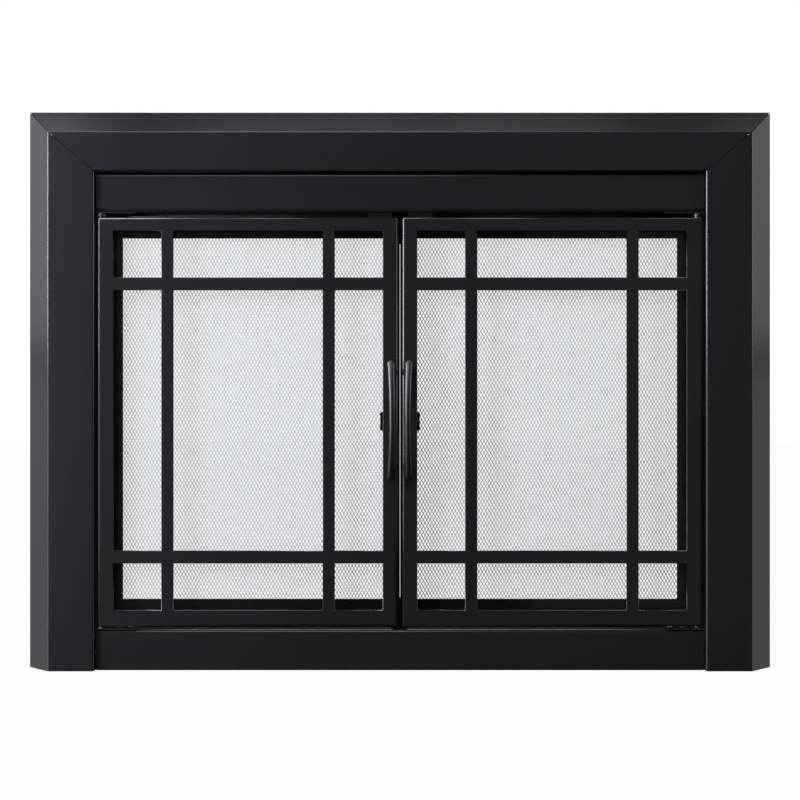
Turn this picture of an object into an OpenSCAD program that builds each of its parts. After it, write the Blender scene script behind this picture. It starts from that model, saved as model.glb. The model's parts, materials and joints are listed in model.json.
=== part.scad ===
// Fireplace glass door: a bevelled sheet-steel surround that stands on the hearth against the wall, with a
// header panel, a bottom panel, a pair of windowpane glass doors and a pair of mesh doors behind them.
// Frame of reference: X to the right, Y into the fireplace, Z up. The wall's face is y = 0, the hearth is
// z = 0, and x = 0 is the line where the doors meet. Left-hand pieces mirror their right-hand twins.

/* [Surround] */
// Overall width across the outer edges
surround_w = 1105; // [1060:5:1150]
// Overall height above the hearth
surround_h = 828; // [800:2:860]
// Width of the flat face of each side
side_face_w = 67.8; // [60:0.1:70]
// Height of the flat face of the top
top_face_h = 58; // [50:0.5:60]
// Width and depth of the 45 degree bevel
bevel = 35; // [32:0.5:40]
// Straight outer edge that stands off the wall
side_return = 16; // [12:0.5:22]
// Depth of the return around the opening
inner_return = 17; // [13:0.5:17]
// Thickness of the frame's sheet steel
sheet_t = 1.5; // [1.2:0.1:1.8]
// Inside radius of an ordinary sheet bend
bend_r = 1.5; // [1:0.1:2]
// Inside radius of the softer bend around the opening
opening_r = 2; // [1:0.5:3]
// Gap left along each mitre
mitre_gap = 1.1; // [0.2:0.1:1.2]

/* [Inner frame] */
// Gap from the opening's side edge to the side channel
side_channel_gap = 8.8; // [8:0.1:11]
// Gap from the opening's top edge to the top channel
top_channel_gap = 9; // [8.5:0.1:11]
// How far the channels reach behind the wall's face
channel_back = 40; // [40:1:50]
// Width of the channels' front flange
channel_front_flange = 18; // [16:0.5:19]
// Width of the channels' back flange
channel_back_flange = 14; // [10:1:16]
// Thickness of the corner gussets
gusset_t = 2.5; // [2:0.1:3]
// Length of each gusset arm
gusset_arm = 110; // [100:1:140]
// Width of each gusset arm
gusset_w = 24; // [20:0.5:25]
// Thickness of the insulation strips against the wall
insulation_t = 13; // [8:1:13]
// Width of the insulation strips
insulation_w = 28; // [20:1:32]

/* [Header and bottom panel] */
// How far both panels lie behind the surround's face
panel_recess = 7; // [6:0.5:9]
// Gap between each panel's end and the surround
panel_end_gap = 1; // [0.8:0.1:4]
// Gap above the header
header_top_gap = 3.6; // [3:0.1:5.5]
// Height of the header panel
header_h = 55.7; // [54:0.1:62]
// Inside radius of the header's soft lower bend
header_soft_r = 5; // [3:0.5:6]
// Height of the bottom panel
bottom_panel_h = 60; // [57:0.5:64]
// Inside radius of the bottom panel's soft upper bend
bottom_soft_r = 3; // [2:0.5:4]
// Depth of the panels' flanges, back from their faces
panel_flange = 34; // [34:0.5:38]
// How far the bottom panel's foot reaches behind the wall's face
bottom_foot = 6; // [3:0.5:7]

/* [Glass doors] */
// Gap between the header and the doors
door_top_gap = 8.9; // [8.5:0.1:10]
// Gap between the doors and the bottom panel
door_bottom_gap = 6.3; // [6:0.1:8]
// Gap between the surround and each door
door_side_gap = 5.2; // [5.2:0.1:7]
// Gap between the two doors
door_centre_gap = 6; // [5:0.2:8]
// How far the doors' faces lie behind the surround's face
door_recess = 4; // [3:0.5:5]
// Depth of a door's folded rim
door_depth = 15; // [14.5:0.5:16]
// Thickness of the doors' sheet steel
door_sheet_t = 1.5; // [1.2:0.1:1.8]
// Outside radius of the soft fold where the doors meet
meeting_fold_r = 5; // [4:0.5:5]
// Outside radius of the fold on a door's other three sides
rim_fold_r = 2.6; // [2:0.1:3]
// Width of the stiles on the hinge side
hinge_stile_w = 22.5; // [22:0.5:26]
// Width of the stiles where the doors meet
meeting_stile_w = 22.4; // [22:0.2:26]
// Height of the top rails
top_rail_h = 19.1; // [19:0.1:22]
// Height of the bottom rails
bottom_rail_h = 23.2; // [22:0.2:26]
// Width of the corner panes
corner_pane_w = 70.5; // [60:0.5:85]
// Height of the corner panes
corner_pane_h = 68.5; // [60:0.5:85]
// Width of the upright muntins
upright_muntin_w = 18; // [14:0.5:22]
// Width of the level muntins
level_muntin_w = 19; // [14:0.5:22]

/* [Glass] */
// Thickness of the tempered glass
glass_t = 4; // [3:0.5:4.5]
// How far the glass laps behind the frame
glass_lap = 6; // [5:0.5:6.5]
// Thickness of the gasket tape
gasket_t = 1.5; // [1:0.1:1.8]
// Thickness of the glass clips
clip_t = 1.2; // [1:0.1:1.5]
// Height of a glass clip
clip_h = 16; // [12:1:20]

/* [Mesh doors] */
// Clear space between the glass doors' rims and the mesh doors
mesh_door_gap = 2.2; // [2.2:0.1:2.6]
// Depth of a mesh door's folded rim
mesh_door_depth = 6.5; // [6:0.1:6.6]
// Thickness of the mesh doors' sheet steel
mesh_sheet_t = 1.2; // [1:0.1:1.4]
// Width of the mesh doors' stiles
mesh_stile_w = 22; // [20:0.5:23]
// Height of the mesh doors' rails
mesh_rail_h = 26; // [25:0.2:26.4]
// How far the mesh frame shows inside the glass door's hinge stile
mesh_side_reveal = 11; // [9:0.5:13]
// How far the mesh frame shows below the glass door's top rail
mesh_top_reveal = 9.3; // [8:0.1:10]
// How far the mesh frame shows above the glass door's bottom rail
mesh_bottom_reveal = 14.2; // [13:0.2:16]
// Gap between the two mesh doors
mesh_centre_gap = 0.6; // [0.6:0.1:2]
// Thickness of the mesh
mesh_t = 0.6; // [0.5:0.1:0.8]

/* [Hinges] */
// Distance from a door's outer edge to its hinge axis
pivot_inset = 4.5; // [4.3:0.1:5]
// Distance from a door's face back to its hinge axis
pivot_depth = 8; // [7.5:0.1:8.2]
// Diameter of the pivot pins
pin_d = 5; // [4:0.1:5]
// Radial clearance of the pins in the bushes and straps
pin_clearance = 0.05; // [0.02:0.01:0.1]
// Diameter of the bush collars
bush_d = 14; // [12:0.5:14.5]
// Thickness of the hinge brackets
bracket_t = 2; // [1.8:0.1:2.2]
// Length of the hinge brackets, from the pivot inwards
bracket_reach = 50; // [46:1:60]
// Thickness of the mesh doors' hinge straps
strap_t = 1.8; // [1.5:0.1:1.8]
// Radius of the eye of a hinge strap
strap_eye_r = 6.5; // [5.5:0.1:6.8]
// Length of the hinge straps, from the pivot inwards
strap_reach = 38; // [34:1:42]
// End clearance between door, strap and bush
hinge_clearance = 0.4; // [0.3:0.05:0.5]

/* [Handles] */
// Height of the handles
handle_h = 177; // [165:1:190]
// Height of the handles' middle above the hearth
handle_z = 369; // [350:1:390]
// Distance from the doors' meeting line to a handle's middle
handle_mid_x = 11.3; // [10.5:0.1:12]
// Distance from the doors' meeting line to a handle's ends
handle_end_x = 13.4; // [12.6:0.1:14]
// How far the handle's middle stands off the door
handle_mid_out = 26; // [22:0.5:32]
// How far the handle's ends stand off the door
handle_end_out = 9; // [8:0.5:11]
// Width of the grip at its middle
grip_mid_w = 8.8; // [8:0.1:9.5]
// Width of the grip near its ends
grip_end_w = 10.8; // [9.5:0.1:11.5]
// Thickness of the grip, front to back
grip_t = 8; // [7:0.1:9]
// Distance between the handle's two feet
feet_spacing = 145; // [130:1:148]
// Diameter of the feet
foot_d = 7.6; // [7.2:0.1:8]
// Distance of the mesh doors' pulls outwards from the meeting line
pull_out = 30; // [28:0.5:31]
// Height of the mesh doors' pulls
pull_h = 28; // [24:1:32]
// Height of the pulls' middle above the hearth
pull_z = 367; // [362:1:372]

/* [Catches and fixings] */
// Width of the magnetic catches
catch_w = 36; // [30:1:44]
// Gap between the catches and the doors they hold
catch_gap = 0.5; // [0.4:0.05:0.7]
// Width of the stop brackets behind the mesh doors' inner corners
stop_w = 22; // [20:1:22]
// Height of the stop brackets
stop_h = 45; // [40:1:48]
// Gap between the stop brackets and the mesh doors
stop_gap = 0.5; // [0.4:0.1:1]
// Distance of the lintel clamps from the middle
clamp_x = 300; // [240:5:360]
// How far the lintel clamps reach behind the wall's face
clamp_reach = 100; // [95:1:120]
// Width of the lintel clamps
clamp_w = 30; // [26:1:36]
// Thickness of the clamps and floor brackets
strong_t = 2.5; // [2:0.1:3]
// Height of the lintel clamps' upright leg
clamp_up = 48; // [44:1:60]
// Length of the clamp bolts
clamp_bolt_l = 70; // [60:1:80]
// Width of the floor brackets' foot
floor_foot_w = 38; // [34:1:44]
// Radius of the floor brackets' anchor holes
anchor_hole_r = 3.5; // [3:0.1:4]

/* [Hidden] */

$fn = 40;
cut = 1;             // how far a cutting solid runs past what it cuts
arc_steps = 5;       // flats in each sheet bend
handle_rings = 26;   // sections along a handle
handle_sides = 14;   // corners of each section

// Surround
half_w = surround_w / 2;
bevel_x = half_w - bevel;
bevel_z = surround_h - bevel;
open_x = bevel_x - side_face_w;
open_z = bevel_z - top_face_h;
face_y = -(side_return + bevel);
face_back_y = face_y + sheet_t;

// Inner frame
web_x = open_x + side_channel_gap;
web_z = open_z + top_channel_gap;
gusset_margin = 5;   // from the bevel's bend to the gusset's outer edge
gusset_x = bevel_x - gusset_margin;
gusset_z = bevel_z - gusset_margin;
fill_gap = 0.3;      // from the top channel to the square that fills a gusset's inner corner
gusset_fill = gusset_x - gusset_w - web_x - channel_front_flange - fill_gap;
strip_joint = 0.5;   // gap where two insulation strips meet
stud_r = 2.5;
stud_len = 12;
stud_hole_r = 2.7;
nut_r = 4.7;
nut_t = 4;
gusset_stud_at = [42, 92];
channel_stud_in = 11;
channel_stud_low = 80;
channel_stud_high = web_z - 120;
channel_stud_z = [for (k = [0, 0.5, 1]) channel_stud_low + k * (channel_stud_high - channel_stud_low)];
channel_stud_pitch = 220;
channel_stud_x = [for (k = [-1.5, -0.5, 0.5, 1.5]) k * channel_stud_pitch];

// Panels
panel_y = face_y + panel_recess;
panel_x = open_x - panel_end_gap;
header_z1 = open_z - header_top_gap;
header_z0 = header_z1 - header_h;
flange_y = panel_y + panel_flange;
panel_fix_y = panel_y + 22;
panel_fix_in = 17;    // from a panel's long edges to its fixing screws
panel_fix_z = [panel_fix_in, bottom_panel_h - panel_fix_in, header_z0 + panel_fix_in,
               header_z1 - panel_fix_in];
spacer_r = 6;
screw_r = 2.5;
screw_head_r = 4.7;
screw_head_t = 3;
screw_hole_r = 2.65;

// Glass doors
door_z1 = header_z0 - door_top_gap;
door_z0 = bottom_panel_h + door_bottom_gap;
door_x0 = door_centre_gap / 2;
door_x1 = open_x - door_side_gap;
door_y0 = face_y + door_recess;
door_y1 = door_y0 + door_depth;
door_back_y = door_y0 + door_sheet_t;
pane_x = [
    [door_x0 + meeting_stile_w, door_x0 + meeting_stile_w + corner_pane_w],
    [door_x0 + meeting_stile_w + corner_pane_w + upright_muntin_w,
     door_x1 - hinge_stile_w - corner_pane_w - upright_muntin_w],
    [door_x1 - hinge_stile_w - corner_pane_w, door_x1 - hinge_stile_w]
];
pane_z = [
    [door_z0 + bottom_rail_h, door_z0 + bottom_rail_h + corner_pane_h],
    [door_z0 + bottom_rail_h + corner_pane_h + level_muntin_w,
     door_z1 - top_rail_h - corner_pane_h - level_muntin_w],
    [door_z1 - top_rail_h - corner_pane_h, door_z1 - top_rail_h]
];
sight = [pane_x[0][0], pane_x[2][1], pane_z[0][0], pane_z[2][1]];   // x0, x1, z0, z1 of the window

// Glass
glass_y0 = door_back_y + gasket_t;
glass_y1 = glass_y0 + glass_t;
clip_lap = 4;
clip_rim_gap = 3.5;   // from a clip's outer end to the door's rim
clip_x = [
    [sight[0] - glass_lap + clip_lap, door_x0 + door_sheet_t + clip_rim_gap],
    [sight[1] + glass_lap - clip_lap, door_x1 - door_sheet_t - clip_rim_gap]
];
clip_end_in = 45;     // from the window's ends to the outer clips
clip_mid_down = 50;   // from the window's middle down to the middle clip
clip_z = [sight[2] + clip_end_in, (sight[2] + sight[3]) / 2 - clip_mid_down, sight[3] - clip_end_in];
clip_boss_r = 3.6;
clip_boss_in = 7.5;   // from the glass's edge to the boss's middle
clip_boss_x = [sight[0] - glass_lap - clip_boss_in, sight[1] + glass_lap + clip_boss_in];
clip_hole_y = door_back_y + 0.5;   // bottom of the threaded holes in the bosses
hole_spare = 0.5;     // room left past the end of a screw or pin
clip_screw_r = 1.9;
clip_hole_r = 2;
clip_head_r = 3.4;
clip_head_t = 2;

// Mesh doors
mesh_y0 = door_y1 + mesh_door_gap;
mesh_y1 = mesh_y0 + mesh_door_depth;
mesh_back_y = mesh_y0 + mesh_sheet_t;
mesh_x0 = mesh_centre_gap / 2;
mesh_sight = [mesh_x0 + mesh_stile_w, sight[1] - mesh_side_reveal,
              sight[2] + mesh_bottom_reveal, sight[3] - mesh_top_reveal];
mesh_x1 = mesh_sight[1] + mesh_stile_w;
mesh_z0 = mesh_sight[2] - mesh_rail_h;
mesh_z1 = mesh_sight[3] + mesh_rail_h;
mesh_lap = 12;
retainer_w = 13;
retainer_t = 1.2;
retainer_y = mesh_back_y + mesh_t;

// Hinges
pivot_x = door_x1 - pivot_inset;
pivot_y = door_y0 + pivot_depth;
pin_r = pin_d / 2;
pin_bore_r = pin_r + pin_clearance;
top_strap_z = door_z1 + hinge_clearance;
bottom_strap_z = door_z0 - hinge_clearance - strap_t;
top_collar_z = top_strap_z + strap_t + hinge_clearance;
bottom_collar_z = bottom_strap_z - hinge_clearance;
lip_gap = 0.4;        // from the panels' lips to the straps
top_lip_gap = 4.1;    // from the header's upper lip to the top channel, which leaves room for the clamps
header_top_lip_z = web_z - top_lip_gap;
header_lip_z = top_strap_z + strap_t + lip_gap;
bottom_lip_z = bottom_strap_z - lip_gap;
bush_shank_r = 4.5;
bracket_front = 2;    // how far the brackets reach in front of the panels
bracket_depth = 30;
bracket_end = 8;      // from the pivot out to the bracket's end
bracket_screw_in = [22, 40];
bracket_screw_y = panel_y + 18;
bracket_screw_r = 2;
bracket_head_r = 3.9;
bracket_screw_len = 9;
block_gap = 0.8;      // between the pivot blocks and the glass
block_x0 = sight[1] + glass_lap + block_gap;
top_block_z = sight[3] + glass_lap + block_gap;
bottom_block_z = sight[2] - glass_lap - block_gap;
block_depth = 12.5;
strap_leg_y = mesh_y0 - strap_t;
strap_leg_in = 8.5;   // from the pivot to the strap's leg
strap_leg_end = 2.3;  // how far the strap's leg passes the edge of the glass door's rail
stop_y = mesh_y1 + stop_gap;
stop_foot = 10.8;     // depth of a stop bracket's foot
stop_screw_x = 6;
stop_screw_in = 4.4;  // from the back of a stop bracket's leg to its screws
stop_screw_y = stop_y + bracket_t + stop_screw_in;
flange_screws = concat([for (d = bracket_screw_in) [pivot_x - d, bracket_screw_y]],
                       [[stop_screw_x, stop_screw_y]]);

// Handles
foot_x = handle_end_x - 0.4;
foot_sink = 3;        // how far the feet reach into the grip
foot_z = [handle_z - feet_spacing / 2, handle_z + feet_spacing / 2];
foot_bore_r = 1.9;
foot_bore_len = 9;
handle_screw_r = 1.85;
grip_cap = 5;         // length of the rounded tip at each end of a grip

// Mesh door pulls
pull_t = 3.3;
pull_end_r = 4;
pull_waist = 0.7;     // how far the pull draws in between its lobes
pull_foot_in = 5;     // from the stile's inner edge to the pull's feet
pull_foot_x = mesh_sight[0] - pull_foot_in;
pull_foot_len = 4.2;
pull_foot_r = 3.5;
pull_y = mesh_y0 - pull_foot_len;
pull_foot_end = 6;    // from the pull's ends to its feet
pull_foot_z = [pull_z - pull_h / 2 + pull_foot_end, pull_z + pull_h / 2 - pull_foot_end];

// Catches, clamps and floor brackets
catch_x = 30;
catch_y0 = glass_y1 + clip_t;
catch_step_gap = 0.3;
catch_step_y = mesh_y0 - catch_step_gap;
catch_back = 1.5;     // how far the catches reach behind the mesh doors
catch_y1 = mesh_y1 + catch_back;
catch_floor = 2;      // plastic left below the catches' screws
magnet = [24, 5, 4];
low_magnet = [24, 5, 3];
magnet_wall = 1;
low_magnet_wall = 1.5;
clamp_hole_r = 3.2;
clamp_front_y = -34;
clamp_bolt_r = 4;
clamp_bolt_up = 31;   // from the clamp's underside up to its bolt
clamp_bolt_z = web_z - strong_t + clamp_bolt_up;
clamp_bolt_out = 10;
clamp_pad_r = 9;
clamp_pad_t = 3;
clamp_head_r = 7.5;
clamp_head_t = 5;
clamp_slot = [-24, 28];
slide_bolt_y = [-18, 15];
slide_bolt_r = 3;
slide_bolt_end = 3;
slide_head_t = 4;
slide_nut_r = 5.6;
slide_nut_t = 5;
floor_y = [bottom_foot + 2, channel_back - 2];
floor_up = 50;
floor_hole_x = web_x - 21.5;
floor_fix_z = [18, 36];

// ---------- sheet metal ----------

function unit(v) = v / norm(v);
function left_of(d) = [-d[1], d[0]];
function turn(a, b) = a[0] * b[1] - a[1] * b[0];
function spin(v, a) = [v[0] * cos(a) - v[1] * sin(a), v[0] * sin(a) + v[1] * cos(a)];
function flip(pts) = [for (i = [len(pts) - 1:-1:0]) pts[i]];

// Points of one bend at corner p, from direction d0 to d1. r is the bend's radius on the drawn line and
// rho the radius of the surface wanted.
function bend(p, d0, d1, r, rho) =
    let (s = sign(turn(d0, d1)), a = acos(d0 * d1),
         c = p - d0 * r * tan(a / 2) + s * r * left_of(d0))
    [for (k = [0:arc_steps]) c + rho * spin(-s * left_of(d0), s * a * k / arc_steps)];

// The drawn face of a folded sheet, with its bends rounded. radii[i] is the inside radius at corner i, and
// side says on which side of the line the sheet's thickness lies: 1 left, -1 right.
function folded_face(path, radii, t, side, shift) =
    let (n = len(path), d = [for (i = [0:n - 2]) unit(path[i + 1] - path[i])])
    concat(
        [path[0] + shift * side * left_of(d[0])],
        [for (i = [1:n - 2])
            let (inside = sign(turn(d[i - 1], d[i])) == side,
                 r = inside ? radii[i] + t : radii[i],
                 rho = inside ? r - shift : r + shift)
            each bend(path[i], d[i - 1], d[i], r, rho)],
        [path[n - 1] + shift * side * left_of(d[n - 2])]
    );

// The cross-section of a folded sheet.
module folded(path, radii, t, side) {
    polygon(concat(folded_face(path, radii, t, side, 0), flip(folded_face(path, radii, t, side, t))));
}

// Draws a (y, z) section and pushes it along X from x0 to x1.
module along_x(x0, x1) {
    translate([x0, 0, 0]) rotate([90, 0, 90]) linear_extrude(x1 - x0) children();
}

// Draws an (x, z) outline and pushes it along Y from y0 to y1.
module along_y(y0, y1) {
    translate([0, y1, 0]) rotate([90, 0, 0]) linear_extrude(y1 - y0) children();
}

// A box given by its two corners.
module box(lo, hi) {
    translate(lo) cube(hi - lo);
}

// A rod of radius r along Y from y0 to y1, at (x, z).
module rod_y(x, z, y0, y1, r) {
    translate([x, y0, z]) rotate([-90, 0, 0]) cylinder(r = r, h = y1 - y0);
}

// A rod of radius r along X from x0 to x1, at (y, z).
module rod_x(y, z, x0, x1, r) {
    translate([x0, y, z]) rotate([0, 90, 0]) cylinder(r = r, h = x1 - x0);
}

// A rod of radius r along Z from z0 to z1, at (x, y).
module rod_z(x, y, z0, z1, r) {
    translate([x, y, z0]) cylinder(r = r, h = z1 - z0);
}

module rectangle(x0, x1, z0, z1) {
    translate([x0, z0]) square([x1 - x0, z1 - z0]);
}

module left() {
    mirror([1, 0, 0]) children();
}

module both() {
    children();
    left() children();
}

black = [0.13, 0.13, 0.14];
bright = [0.62, 0.62, 0.64];

// ---------- surround ----------

side_path = [[half_w, 0], [half_w, -side_return], [bevel_x, face_y], [open_x, face_y],
             [open_x, face_y + inner_return]];
top_path = [[0, surround_h], [-side_return, surround_h], [face_y, bevel_z], [face_y, open_z],
            [face_y + inner_return, open_z]];
surround_radii = [0, bend_r, bend_r, opening_r, 0];

// The front view of a right-hand side piece, whose top end follows the mitre.
module side_mitre(gap) {
    polygon([[0, -cut], [half_w + cut, -cut], [half_w + cut, surround_h + cut - gap],
             [half_w, surround_h - gap], [bevel_x, bevel_z - gap], [open_x, open_z - gap],
             [0, open_z - gap]]);
}

module surround_side() {
    color(black) intersection() {
        linear_extrude(surround_h) folded(side_path, surround_radii, sheet_t, -1);
        along_y(face_y - cut, cut) side_mitre(mitre_gap / 2);
    }
}

module surround_top() {
    color(black) difference() {
        along_x(-half_w, half_w) folded(top_path, surround_radii, sheet_t, 1);
        both() along_y(face_y - cut, cut) difference() {
            side_mitre(-mitre_gap / 2);
            rectangle(-cut, open_x, open_z - cut * 2, surround_h);
        }
    }
}

// ---------- inner frame ----------

side_channel_path = [[web_x + channel_front_flange, face_back_y], [web_x, face_back_y],
                     [web_x, channel_back], [web_x + channel_back_flange, channel_back]];
top_channel_path = [[face_back_y, web_z + channel_front_flange], [face_back_y, web_z],
                    [channel_back, web_z], [channel_back, web_z + channel_back_flange]];
channel_radii = [0, bend_r, bend_r, 0];

// Studs of the right half: x, z and the thickness of what they hold.
gusset_studs = [for (s = gusset_stud_at) each [
    [gusset_x - gusset_w / 2, gusset_z - s, gusset_t],
    [gusset_x - s, gusset_z - gusset_w / 2, gusset_t]
]];
side_channel_studs = [for (z = channel_stud_z) [web_x + channel_stud_in, z, sheet_t]];
top_channel_studs = [for (x = channel_stud_x) [x, web_z + channel_stud_in, sheet_t]];

module stud_holes(studs) {
    for (s = studs) rod_y(s[0], s[1], face_back_y - cut, face_back_y + s[2] + cut, stud_hole_r);
}

module side_channel() {
    color(black) difference() {
        linear_extrude(web_z) folded(side_channel_path, channel_radii, sheet_t, -1);
        stud_holes(side_channel_studs);
        for (z = panel_fix_z) rod_x(panel_fix_y, z, web_x - cut, web_x + sheet_t + cut, screw_hole_r);
        for (z = floor_fix_z)
            rod_x((floor_y[0] + floor_y[1]) / 2, z, web_x - cut, web_x + sheet_t + cut, screw_hole_r);
    }
}

module top_channel() {
    color(black) difference() {
        along_x(-web_x - channel_front_flange, web_x + channel_front_flange)
            folded(top_channel_path, channel_radii, sheet_t, 1);
        stud_holes(top_channel_studs);
        both() for (y = slide_bolt_y) rod_z(clamp_x, y, web_z - cut, web_z + sheet_t + cut, clamp_hole_r);
    }
}

// An angle plate whose inner corner is filled, so that it lies behind the mitre.
module corner_gusset() {
    in_x = gusset_x - gusset_w;
    in_z = gusset_z - gusset_w;
    color(bright) difference() {
        along_y(face_back_y, face_back_y + gusset_t) {
            difference() {
                rectangle(gusset_x - gusset_arm, gusset_x, gusset_z - gusset_arm, gusset_z);
                rectangle(gusset_x - gusset_arm - cut, in_x, gusset_z - gusset_arm - cut, in_z);
            }
            rectangle(in_x - gusset_fill, in_x + cut, in_z - gusset_fill, in_z + cut);
        }
        stud_holes(gusset_studs);
    }
}

module surround_studs() {
    color(bright) {
        both() for (s = concat(gusset_studs, side_channel_studs))
            rod_y(s[0], s[1], face_back_y, face_back_y + stud_len, stud_r);
        for (s = top_channel_studs) rod_y(s[0], s[1], face_back_y, face_back_y + stud_len, stud_r);
    }
}

// A hexagon nut along Y that starts at y0.
module nut_y(x, z, y0) {
    translate([x, y0, z]) rotate([-90, 0, 0]) difference() {
        cylinder(r = nut_r, h = nut_t, $fn = 6);
        translate([0, 0, -cut]) cylinder(r = stud_r, h = nut_t + 2 * cut);
    }
}

// A hexagon nut along X that starts at x0.
module nut_x(y, z, x0) {
    translate([x0, y, z]) rotate([0, 90, 0]) difference() {
        cylinder(r = nut_r, h = nut_t, $fn = 6);
        translate([0, 0, -cut]) cylinder(r = screw_r, h = nut_t + 2 * cut);
    }
}

module frame_nuts() {
    color(bright) {
        both() for (s = concat(gusset_studs, side_channel_studs)) nut_y(s[0], s[1], face_back_y + s[2]);
        for (s = top_channel_studs) nut_y(s[0], s[1], face_back_y + s[2]);
        both() for (z = panel_fix_z) nut_x(panel_fix_y, z, web_x + sheet_t);
        both() for (z = floor_fix_z) nut_x((floor_y[0] + floor_y[1]) / 2, z, web_x + sheet_t);
    }
}

// Strips of insulation that lie inside the surround's outer edge and touch the wall.
module insulation_strips() {
    edge_x = half_w - sheet_t;
    edge_z = surround_h - sheet_t;
    color([0.85, 0.82, 0.7]) {
        both() box([edge_x - insulation_w, -insulation_t, 0],
                   [edge_x, 0, edge_z - insulation_w - strip_joint]);
        box([-edge_x, -insulation_t, edge_z - insulation_w], [edge_x, 0, edge_z]);
    }
}

// ---------- header and bottom panel ----------

header_section = [[flange_y, header_z1], [panel_y, header_z1], [panel_y, header_z0], [flange_y, header_z0]];
header_path = concat([[flange_y, header_top_lip_z]], header_section, [[flange_y, header_lip_z]]);
header_section_radii = [0, bend_r, header_soft_r, 0];
header_radii = [0, bend_r, bend_r, header_soft_r, bend_r, 0];
bottom_section = [[flange_y, bottom_panel_h], [panel_y, bottom_panel_h], [panel_y, 0], [bottom_foot, 0]];
bottom_path = concat([[flange_y, bottom_lip_z]], bottom_section);
bottom_section_radii = [0, bottom_soft_r, bend_r, 0];
bottom_radii = [0, bend_r, bottom_soft_r, bend_r, 0];

// A panel folded along its length, with a closed plate at each end that its fixing screws pass through.
// The path is the section with lips added, which close the view past the doors' edges and the header's top.
module panel(path, radii, section, section_radii, fix_z) {
    difference() {
        union() {
            along_x(-panel_x, panel_x) folded(path, radii, sheet_t, 1);
            both() along_x(panel_x - sheet_t, panel_x) intersection() {
                polygon(folded_face(section, section_radii, sheet_t, 1, 0));
                rectangle(panel_y - cut, flange_y, section[3][1], section[0][1]);
            }
        }
        both() for (z = fix_z)
            rod_x(panel_fix_y, z, panel_x - sheet_t - cut, panel_x + cut, screw_hole_r);
    }
}

module header_panel() {
    color(black) difference() {
        panel(header_path, header_radii, header_section, header_section_radii,
              [panel_fix_z[2], panel_fix_z[3]]);
        both() for (p = flange_screws)
            rod_z(p[0], p[1], header_z0 - cut, header_z0 + sheet_t + cut, bracket_screw_r);
        both() for (s = [-1, 1])
            rod_z(catch_x + s * catch_w / 4, catch_screw_y, header_z0 - cut, header_z0 + sheet_t + cut,
                  bracket_screw_r);
    }
}

module bottom_panel() {
    color(black) difference() {
        panel(bottom_path, bottom_radii, bottom_section, bottom_section_radii,
              [panel_fix_z[0], panel_fix_z[1]]);
        both() for (p = flange_screws)
            rod_z(p[0], p[1], bottom_panel_h - sheet_t - cut, bottom_panel_h + cut, bracket_screw_r);
    }
}

// A pan-head screw along X whose head sits against x0 and whose shank runs to x1.
module screw_x(y, z, x0, x1) {
    rod_x(y, z, x0 - screw_head_t, x0, screw_head_r);
    rod_x(y, z, x0, x1, screw_r);
}

module frame_screws() {
    shank_end = web_x + sheet_t + nut_t + 2;
    color(bright) both() {
        for (z = panel_fix_z) screw_x(panel_fix_y, z, panel_x - sheet_t, shank_end);
        for (z = floor_fix_z) screw_x((floor_y[0] + floor_y[1]) / 2, z, web_x - strong_t, shank_end);
    }
}

module panel_spacers() {
    color(bright) both() for (z = panel_fix_z) difference() {
        rod_x(panel_fix_y, z, panel_x, web_x, spacer_r);
        rod_x(panel_fix_y, z, panel_x - cut, web_x + cut, screw_hole_r);
    }
}

// ---------- hinges ----------

// A hinge bracket from z0 upwards. Its screw heads are sunk into its upper face if out is 1, into its lower
// face if out is -1.
module hinge_bracket(z0, out) {
    face_z = out > 0 ? z0 + bracket_t : z0;
    difference() {
        box([pivot_x - bracket_reach, panel_y - bracket_front, z0],
            [pivot_x + bracket_end, panel_y - bracket_front + bracket_depth, z0 + bracket_t]);
        rod_z(pivot_x, pivot_y, z0 - cut, z0 + bracket_t + cut, bush_shank_r);
        for (d = bracket_screw_in) {
            translate([pivot_x - d, bracket_screw_y, face_z]) sunk_head(out);
            rod_z(pivot_x - d, bracket_screw_y, z0 - cut, z0 + bracket_t + cut, bracket_screw_r);
        }
    }
}

// The cone of a sunk screw head that is flush with z = 0 and points away from out.
module sunk_head(out) {
    translate([0, 0, out > 0 ? -bracket_t : 0]) cylinder(
        r1 = out > 0 ? bracket_screw_r : bracket_head_r,
        r2 = out > 0 ? bracket_head_r : bracket_screw_r,
        h = bracket_t);
}

module hinge_brackets() {
    color(black) {
        hinge_bracket(header_z0 - bracket_t, -1);
        hinge_bracket(bottom_panel_h, 1);
    }
}

// An angle of plate that stands on z = 0 behind the mesh doors' inner corners.
module stop_bracket() {
    difference() {
        union() {
            box([-stop_w / 2, stop_y, 0], [stop_w / 2, stop_y + bracket_t, stop_h]);
            box([-stop_w / 2, stop_y, 0], [stop_w / 2, stop_y + stop_foot, bracket_t]);
        }
        both() translate([stop_screw_x, stop_screw_y, bracket_t]) sunk_head(1);
    }
}

// The stops that the shut mesh doors come to rest on.
module stop_brackets() {
    color(black) {
        translate([0, 0, bottom_panel_h]) stop_bracket();
        translate([0, 0, header_z0]) mirror([0, 0, 1]) stop_bracket();
    }
}

module bracket_screws() {
    color(bright) both() for (p = flange_screws) {
        translate([p[0], p[1], header_z0 - bracket_t]) {
            sunk_head(-1);
            translate([0, 0, bracket_t]) cylinder(r = bracket_screw_r, h = bracket_screw_len);
        }
        translate([p[0], p[1], bottom_panel_h + bracket_t]) {
            sunk_head(1);
            translate([0, 0, -bracket_t - bracket_screw_len])
                cylinder(r = bracket_screw_r, h = bracket_screw_len);
        }
    }
}

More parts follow.
